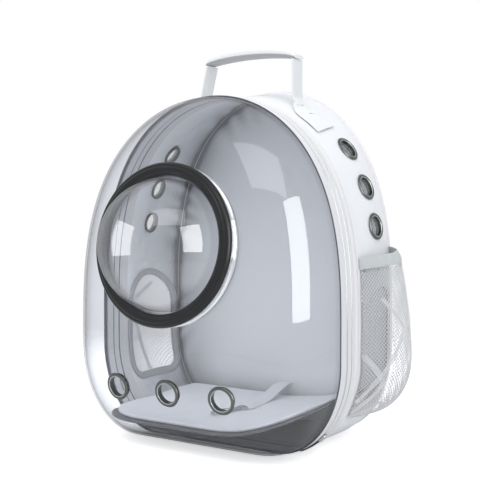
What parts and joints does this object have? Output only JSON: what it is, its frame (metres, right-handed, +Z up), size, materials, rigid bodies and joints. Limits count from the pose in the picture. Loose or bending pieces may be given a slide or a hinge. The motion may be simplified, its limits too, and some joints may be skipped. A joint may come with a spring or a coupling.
{
  "type": "bubble pet carrier backpack",
  "caption": "Standing pet carrier backpack with a clear bulging front shell, a domed window in a rubber ring, metal eyelets, mesh side pockets, a top handle and padded shoulder straps.",
  "frame": {"origin": "middle of the flat base of the side wall", "axes": "+Z up, the clear front shell and its dome face -Y, +X is to the right as seen from the front"},
  "size_m": [0.4214, 0.3664, 0.4853],
  "materials": {
    "smoke_clear": "clear, grey smoke tint, polished",
    "rubber": "black, semi-gloss",
    "gunmetal": "dark antique plating",
    "dark_net": "fine dark mesh",
    "binding": "woven binding tape",
    "zip_tape": "woven zip tape and coil",
    "white_leather": "white coated cloth, fine grain",
    "white_net": "white diamond net",
    "grey_cloth": "grey woven cloth",
    "pale_cloth": "white pile cloth",
    "webbing": "white woven webbing",
    "strap_cloth": "white padded cloth",
    "steel": "polished",
    "black_plastic": "black moulded"
  },
  "bodies": {
    "root": {"front_shell": "smoke_clear", "bubble_dome": "smoke_clear", "bubble_ring": "rubber", "front_eyelet_left": "gunmetal", "front_eyelet_middle": "gunmetal", "front_eyelet_right": "gunmetal", "side_eyelet_left_1": "gunmetal", "side_eyelet_net_left_1": "dark_net", "side_eyelet_left_2": "gunmetal", "side_eyelet_net_left_2": "dark_net", "side_eyelet_left_3": "gunmetal", "side_eyelet_net_left_3": "dark_net", "side_eyelet_right_1": "gunmetal", "side_eyelet_net_right_1": "dark_net", "side_eyelet_right_2": "gunmetal", "side_eyelet_net_right_2": "dark_net", "side_eyelet_right_3": "gunmetal", "side_eyelet_net_right_3": "dark_net", "shell_binding": "binding", "zip_band": "binding", "narrow_band": "binding", "front_zip": "zip_tape", "rear_zip": "zip_tape", "front_piping": "white_leather", "side_wall": "white_leather", "back_piping": "white_leather", "back_panel": "white_leather", "window_net_left": "white_net", "window_net_right": "white_net", "floor_board": "grey_cloth", "floor_mat": "pale_cloth", "tether_strap": "webbing", "tether_hook": "steel", "handle_leg_left": "white_leather", "handle_leg_right": "white_leather", "handle_grip": "white_leather", "pocket_net_left": "white_net", "pocket_hem_left": "white_leather", "pocket_net_right": "white_net", "pocket_hem_right": "white_leather", "shoulder_strap_left": "strap_cloth", "strap_buckle_left": "black_plastic", "strap_webbing_left": "webbing", "shoulder_strap_right": "strap_cloth", "strap_buckle_right": "black_plastic", "strap_webbing_right": "webbing", "zip_slider": "steel", "zip_pull": "black_plastic"}
  },
  "joints": []
}
